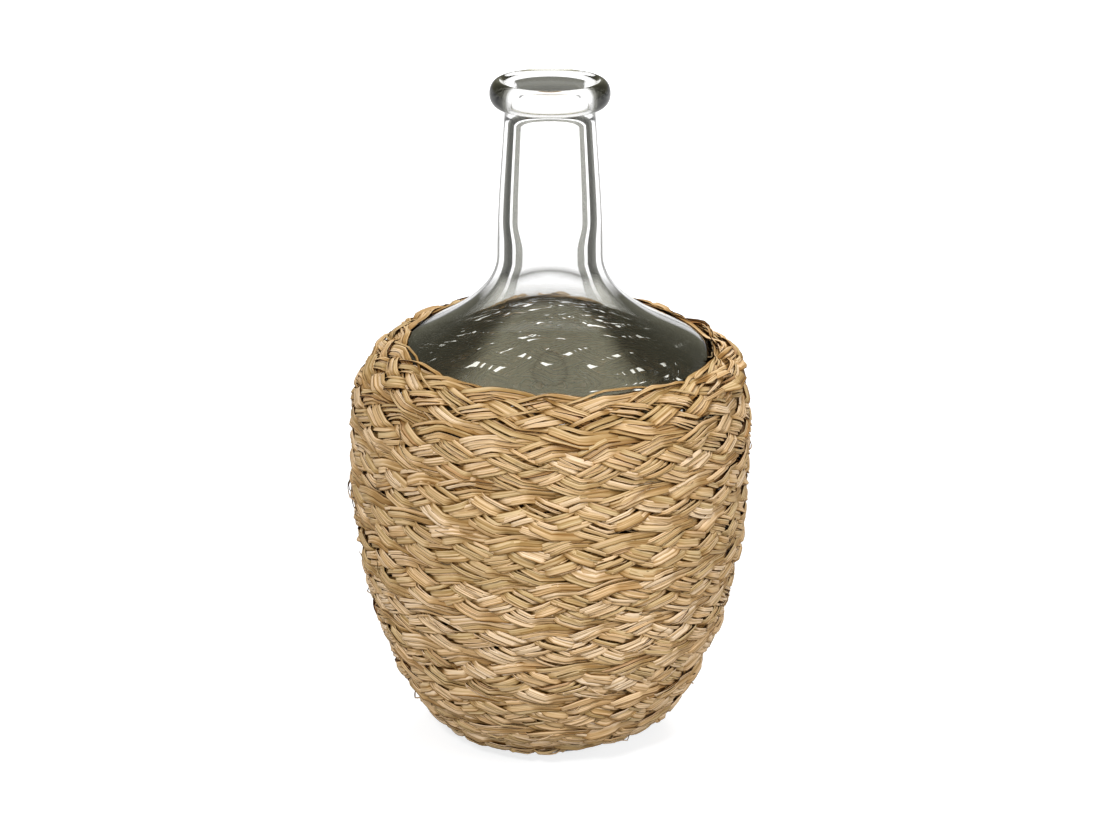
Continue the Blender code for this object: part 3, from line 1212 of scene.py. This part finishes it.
@dataclass
class PlaitedCover:
    """The whole cover: five strands, each renewed once a turn, each length a bundle of blades."""

    plait: PlaitLine
    finish: bpy.types.Material
    rng: np.random.Generator
    bundle_width: float = 0.0079
    blade_thickness: float = 0.00030
    crispness: int = 100
    turns_per_length: float = 1.05
    splice_shift: float = 0.012
    # Mesh: length of a station, the fewest stations, and strips across a blade
    station: float = 0.0026
    fewest_stations: int = 8
    ribs: int = 4
    # Heights off the glass: lowest, over a crossing, at the outer edge, at the rim and its folded end
    floor: float = 0.0002
    seat: float = 0.0005
    rise: float = 0.0023
    shingle: float = 0.0008
    hug: float = 0.72
    hug_slope: float = 0.8
    hug_middle: float = 0.2
    tuck: float = 0.0038
    tuck_reach: float = 1.12
    tuck_fade: float = 0.3
    # Across the plait: how a bundle wavers, slopes and is pinched at the edges and the rim
    narrowest: float = 0.15
    waver: float = 0.00055
    steepest: float = 0.38
    phase_lead: float = 1.1
    edge_pinch: float = 0.14
    rim_gather: float = 1.12
    rim_calm: float = 0.9
    # Ends of blades: how they taper and sink, and how loose tails lift and stray
    tip_width: float = 0.22
    tip_height: float = 0.35
    tip_sink: float = 0.010
    tail_reach: float = 0.022
    tail_lift: float = 0.0034
    tail_stray: float = 0.004
    sway: float = math.radians(18)

    def splices(self) -> list[float]:
        """Share the turns out among the lengths of a strand.

        Returns:
            The turns at which the strands begin, are renewed and end.
        """
        first, last = self.plait.first_turn, self.plait.last_turn
        count = round((last - first) / self.turns_per_length)
        return [first + (last - first) * n / count for n in range(count + 1)]

    def fullness(self, path: StrandPath) -> np.ndarray:
        """How much of a full row's width the plait has, at least the narrowest share."""
        return np.clip(path.width / self.plait.pitch, self.narrowest, 1.0)

    def sideways(
        self, blade: Blade, length: np.ndarray, path: StrandPath, free: np.ndarray
    ) -> np.ndarray:
        """Find how far a blade lies to the side of its strand's middle.

        Args:
            blade: the blade.
            length: its stations along the plait.
            path: the strand's path there.
            free: how free it is to stray, from 0 to 1.

        Returns:
            The distance to the side at each station.
        """
        pinch = path.gather - self.edge_pinch * np.abs(path.across) ** 4
        pinch = pinch + (self.rim_gather - path.gather) * path.rim * np.clip(path.across, 0, 1)
        offset = (blade.offset + self.waver * blade.wander(length)) * self.fullness(path) * pinch
        return offset + blade.slant * (length - length.mean()) * free

    def lifted(
        self, blade: Blade, path: StrandPath, level: np.ndarray, ends: np.ndarray, tail: np.ndarray
    ) -> np.ndarray:
        """Find how far a blade's middle lies off the glass.

        Args:
            blade: the blade.
            path: the strand's path at its stations.
            level: how high the strand passes there.
            ends: how far each station is from the nearer end.
            tail: how loose its tail is there.

        Returns:
            The distance off the glass at each station.
        """
        lift = self.seat + level * self.rise + blade.stack
        lift = lift + self.shingle * path.shingle * path.across
        upper = np.clip(path.across * self.hug_slope + self.hug_middle, 0, 1)
        lift = lift * (1 - self.hug * path.rim * upper)
        over = self.tuck_reach * path.fold - (path.across + 1) / 2
        lift = lift + self.tuck * np.clip(over / self.tuck_fade, 0, 1)
        return lift * np.clip(self.tip_height + ends / self.tip_sink, 0, 1) + tail * self.tail_lift

    def places(self, blade: Blade, strand: int) -> tuple[np.ndarray, np.ndarray, np.ndarray]:
        """Find the positions of a blade's surface.

        Args:
            blade: the blade.
            strand: the number of its strand, from 0.

        Returns:
            Positions as (stations, ribs + 1, 3), and at each station the distance along the blade and
            how deep it lies, from 0 over to 1 under.
        """
        count = max(int((blade.end - blade.start) / self.station), self.fewest_stations)
        length = np.linspace(blade.start, blade.end, count + 1)
        path = self.plait.strand(length, strand)
        half = (path.width - self.bundle_width * self.fullness(path)) / 2
        slope = path.slope * half
        tilt = np.arctan(slope)
        steep = np.clip(slope / self.steepest, -1, 1)
        free = 1 - self.rim_calm * path.rim * np.clip(path.across, 0, 1)
        tail = np.clip(1 - (length[-1] - length) / self.tail_reach, 0, 1) ** 2 * blade.loose * free
        ends = np.minimum(length - length[0], length[-1] - length)
        offset = self.sideways(blade, length, path, free)
        level = self.plait.level(path.phase + steep * self.phase_lead * offset / self.plait.step)
        lift = self.lifted(blade, path, level, ends, tail)
        offset = offset + tail * self.tail_stray * (1 if blade.offset >= 0 else -1)
        roll = blade.roll + self.sway * blade.sway(length)
        rib = np.linspace(-1, 1, self.ribs + 1)
        reach = (blade.width * np.clip(self.tip_width + ends / blade.tip, 0, 1) / 2)[:, None] * rib
        side = offset[:, None] + reach * np.cos(roll)[:, None]
        off = lift[:, None] + reach * np.sin(roll)[:, None] + blade.crown * (1 - rib**2)
        distance = (path.middle + path.across * half)[:, None] + side * np.cos(tilt)[:, None]
        radius, height = self.plait.surface.at(distance, np.maximum(off, self.floor))
        azimuth = self.plait.azimuth(path.turn)[:, None] + side * np.sin(tilt)[:, None] / radius
        position = np.stack([np.cos(azimuth) * radius, np.sin(azimuth) * radius, height], axis=-1)
        return position, length - length[0], 1 - level

    def add_blade(self, bm: bmesh.types.BMesh, position: np.ndarray) -> np.ndarray:
        """Lay a fresh strip of faces along a blade's positions.

        Args:
            bm: the bundle's mesh so far.
            position: positions as (stations, ribs + 1, 3).

        Returns:
            Station and rib of each new vertex, in the mesh's order.
        """
        rows, ribs = position.shape[0] - 1, position.shape[1] - 1
        made = bmesh.ops.create_grid(bm, x_segments=rows, y_segments=ribs, size=1.0)["verts"]
        flat = np.array([vert.co[:2] for vert in made])
        index = np.rint((flat + 1) / 2 * (rows, ribs)).astype(int)
        for vert, place in zip(made, position[index[:, 0], index[:, 1]]):
            vert.co = place
        return index

    def add_thickness(self, bundle: bpy.types.Object) -> None:
        """Give the blades of a bundle their thickness and crisp edges.

        Args:
            bundle: the bundle.
        """
        wall = bundle.modifiers.new("thickness", "SOLIDIFY")
        wall.thickness = self.blade_thickness
        wall.offset = 0.0
        crisp = bundle.modifiers.new("crisp_edges", "WEIGHTED_NORMAL")
        crisp.weight = self.crispness

    def build_length(self, row: int, strand: int, blades: list[Blade]) -> bpy.types.Object:
        """Build one length of a strand as a bundle of blades.

        Args:
            row: number of the length, from 1 at the foot.
            strand: number of the strand, from 0.
            blades: its blades.

        Returns:
            The bundle.
        """
        bm = bmesh.new()
        marks: dict[str, list[np.ndarray]] = {key: [] for key in BLADE_MARKS}
        for blade in blades:
            position, run, depth = self.places(blade, strand)
            index = self.add_blade(bm, position)
            marks["tint"].append(np.full(len(index), blade.tint))
            marks["along"].append(run[index[:, 0]])
            marks["across"].append(2 * index[:, 1] / self.ribs - 1)
            marks["depth"].append(depth[index[:, 0]])
        name = f"grass_row_{row}_strand_{strand + 1}"
        mesh = bpy.data.meshes.new(name)
        bm.to_mesh(mesh)
        bm.free()
        mesh.shade_smooth()
        for key, values in marks.items():
            layer = mesh.attributes.new(key, "FLOAT", "POINT")
            layer.data.foreach_set("value", np.concatenate(values).astype(np.float32))
        mesh.materials.append(self.finish)
        bundle = bpy.data.objects.new(name, mesh)
        bpy.context.collection.objects.link(bundle)
        self.add_thickness(bundle)
        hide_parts(f"plait_row_{row}_strand_{strand + 1}")
        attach(bundle, "root")
        log.info("%s: %d blades and hairs", name, len(blades))
        return bundle

    def build(self) -> list[bpy.types.Object]:
        """Build every length of every strand.

        Returns:
            The bundles.
        """
        made = []
        joins = self.splices()
        draw = BladeDraw(self.rng, self.bundle_width)
        rim = self.plait.length_at(self.plait.last_turn - 1)
        for strand in range(self.plait.strands):
            shift = (strand - self.plait.strands // 2) * self.splice_shift
            ends = [self.plait.length_at(turn) for turn in joins]
            ends = ends[:1] + [end + shift for end in ends[1:-1]] + ends[-1:]
            for row, (start, end) in enumerate(zip(ends, ends[1:]), 1):
                made.append(self.build_length(row, strand, draw.bundle(start, end, rim)))
        return made


@dataclass
class SeamThread:
    """The thread that sews each turn of the plait to the next one up."""

    plait: PlaitLine
    finish: bpy.types.Material
    radius: float = 0.0003
    stitch: float = 0.009
    swing: float = 0.0012
    lift: float = 0.0016
    round_steps: int = 1
    stitch_steps: int = 3
    order: int = 3

    def points(self) -> np.ndarray:
        """Lay points along the seam, from side to side of it.

        Returns:
            The points, as (count, 3).
        """
        first = self.plait.length_at(self.plait.first_turn)
        last = self.plait.length_at(self.plait.last_turn - 1)
        length = np.arange(first, last, self.stitch / 2)
        turn = self.plait.turn_at(length)
        _, seam = self.plait.edges(turn)
        side = np.where(np.arange(len(length)) % 2, self.swing, -self.swing)
        radius, height = self.plait.surface.at(seam + side, self.lift)
        azimuth = self.plait.azimuth(turn)
        return np.column_stack([np.cos(azimuth) * radius, np.sin(azimuth) * radius, height])

    def build(self) -> bpy.types.Object:
        """Draw the thread through its points.

        Returns:
            The thread.
        """
        points = self.points()
        line = bpy.data.curves.new("sewing_thread", "CURVE")
        line.dimensions = "3D"
        line.bevel_depth = self.radius
        line.bevel_resolution = self.round_steps
        line.resolution_u = self.stitch_steps
        line.use_fill_caps = True
        spline = line.splines.new("NURBS")
        spline.points.add(len(points) - 1)
        spline.points.foreach_set("co", np.column_stack([points, np.ones(len(points))]).ravel())
        spline.order_u = self.order
        spline.use_endpoint_u = True
        line.materials.append(self.finish)
        thread = bpy.data.objects.new("sewing_thread", line)
        bpy.context.collection.objects.link(thread)
        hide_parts("seam_thread")
        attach(thread, "root")
        log.info("%s: %d points", thread.name, len(points))
        return thread


@dataclass(frozen=True)
class Lamp:
    """A soft square lamp that lights the vase and isn't seen in the glass."""

    name: str
    place: tuple[float, float, float]
    size: float
    watts: float

    def build(self, target: tuple[float, float, float]) -> bpy.types.Object:
        """Hang the lamp.

        Args:
            target: the place that it faces.

        Returns:
            The lamp.
        """
        light = bpy.data.lights.new(self.name, "AREA")
        light.size = self.size
        light.energy = self.watts
        lamp = bpy.data.objects.new(self.name, light)
        lamp.location = self.place
        lamp.visible_glossy = False
        lamp.visible_transmission = False
        lamp.rotation_euler = (Vector(target) - Vector(self.place)).to_track_quat("-Z", "Y").to_euler()
        bpy.context.collection.objects.link(lamp)
        return lamp


@dataclass
class Studio:
    """The pale floor, the soft light and the camera at the photograph's angle."""

    # Camera: its place, how far it looks down, and its focal length as a share of the picture's width
    camera_back: float = 1.200
    camera_height: float = 0.5830
    camera_pitch: float = math.radians(19.636)
    focal_share: float = 2779.4 / 1100
    sensor_width: float = 36.0
    # Lamps, and the middle of the vase, which they face
    lamps: tuple[Lamp, ...] = (
        Lamp("key", (-0.65, -1.95, 1.9), 0.35, 29.5),
        Lamp("low", (-1.2, -1.8, 0.50), 0.4, 8.5),
        Lamp("fill", (1.5, -1.0, 0.9), 0.8, 14.5),
        Lamp("back", (0.4, 1.8, 1.6), 0.9, 36.0),
    )
    lamp_target: tuple[float, float, float] = (0.0, 0.0, 0.15)
    # Room, from below to above: as it lights, as it is mirrored, and as it shows through the glass
    room_light: Bands = ((0.02, grey(0.6)), (0.10, grey(0.15)), (0.60, grey(0.15)), (0.85, grey(0.55)))
    room_shine: Bands = ((0.0, grey(0.40)), (0.10, DIM_ROOM), (0.78, DIM_ROOM), (0.87, WARM_ROOM))
    room_through: Bands = ((0.25, CLEAR), (0.45, DIM_ROOM), (0.70, DIM_ROOM), (0.87, WARM_ROOM))
    # Floor: its grain, and how white it shows near the vase and far away
    floor_radius: float = 9.0
    floor_sides: int = 96
    floor_grain: Bands = ((0.0, grey(0.445)), (1.0, grey(0.455)))
    floor_grain_rate: float = 3.0
    floor_near: float = 0.4
    floor_far: float = 2.0
    floor_white: tuple[float, float] = (0.78, 1.0)
    floor_mirrored: float = 0.3

    def build_world(self) -> None:
        """Light the object from a plain room, and show a white background behind it and in the glass."""
        world = bpy.data.worlds.new("soft_room")
        bpy.context.scene.world = world
        sheet = NodeSheet(world)
        place = sheet.node("TexCoord").outputs["Generated"]
        height = sheet.node("SeparateXYZ", Vector=place).outputs["Z"]
        light, shine, through = (
            sheet.ramp(height, bands) for bands in (self.room_light, self.room_shine, self.room_through)
        )
        colour = sheet.mix(sheet.rays(glossy=1.0), light, shine)
        colour = sheet.mix(sheet.rays(transmission=1.0), colour, through)
        colour = sheet.mix(sheet.rays(camera=1.0), colour, (*CLEAR, 1.0))
        sheet.finish(sheet.node("Background", Color=colour, Strength=1.0))

    def floor_finish(self) -> bpy.types.Material:
        """Build the floor's material, which is lit as a pale floor and seen as a white one.

        Returns:
            The finished material.
        """
        sheet = NodeSheet(bpy.data.materials.new("pale_floor"))
        place = sheet.node("TexCoord").outputs["Object"]
        grain = sheet.ramp(sheet.noise(place, self.floor_grain_rate), self.floor_grain)
        matt = sheet.node("BsdfDiffuse", Color=grain)
        away = sheet.node("VectorMath", {"operation": "LENGTH"}, i0=place).outputs["Value"]
        white = sheet.spread(away, (self.floor_near, self.floor_far), self.floor_white, Easing.STRAIGHT)
        seen = sheet.rays(camera=1.0, transmission=1.0, glossy=self.floor_mirrored)
        glow = sheet.node("Emission", Color=(*CLEAR, 1.0), Strength=sheet.maths("MULTIPLY", seen, white))
        return sheet.finish(sheet.node("AddShader", i0=matt.outputs[0], i1=glow.outputs[0]))

    def build_floor(self) -> None:
        """A wide pale floor that keeps the vase's soft shadow."""
        bm = bmesh.new()
        bmesh.ops.create_circle(bm, cap_ends=True, radius=self.floor_radius, segments=self.floor_sides)
        mesh = bpy.data.meshes.new("pale_floor")
        bm.to_mesh(mesh)
        bm.free()
        mesh.materials.append(self.floor_finish())
        floor = bpy.data.objects.new("pale_floor", mesh)
        bpy.context.collection.objects.link(floor)

    def build_camera(self) -> None:
        """Set the camera at the photograph's viewing angle."""
        lens = bpy.data.cameras.new("photo_camera")
        lens.sensor_width = self.sensor_width
        lens.lens = self.sensor_width * self.focal_share
        camera = bpy.data.objects.new("photo_camera", lens)
        camera.location = (0.0, -self.camera_back, self.camera_height)
        camera.rotation_euler = (math.pi / 2 - self.camera_pitch, 0.0, 0.0)
        bpy.context.collection.objects.link(camera)
        bpy.context.scene.camera = camera

    def build(self) -> None:
        """Build the room, the lamps and the camera."""
        self.build_world()
        self.build_floor()
        for lamp in self.lamps:
            lamp.build(self.lamp_target)
        self.build_camera()
        bpy.context.scene.view_settings.view_transform = "Standard"


def main() -> None:
    """Build the vase, its cover and the studio."""
    logging.basicConfig(level=logging.INFO, format="%(name)s: %(message)s")
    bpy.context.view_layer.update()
    Studio().build()
    outline = GlassOutline()
    outside = OuterGlass("glass_outside").material()
    inside = InnerGlass("glass_inside").material()
    GlassVase(outline).build(outside, inside)
    plait = PlaitLine(GlassSurface(outline))
    rng = np.random.default_rng(BLADE_SEED)
    bundles = PlaitedCover(plait, GrassFinish().material(), rng).build()
    log.info("cover: %d lengths of plaited grass", len(bundles))
    SeamThread(plait, ThreadFinish().material()).build()


if __name__ == "__main__":
    main()
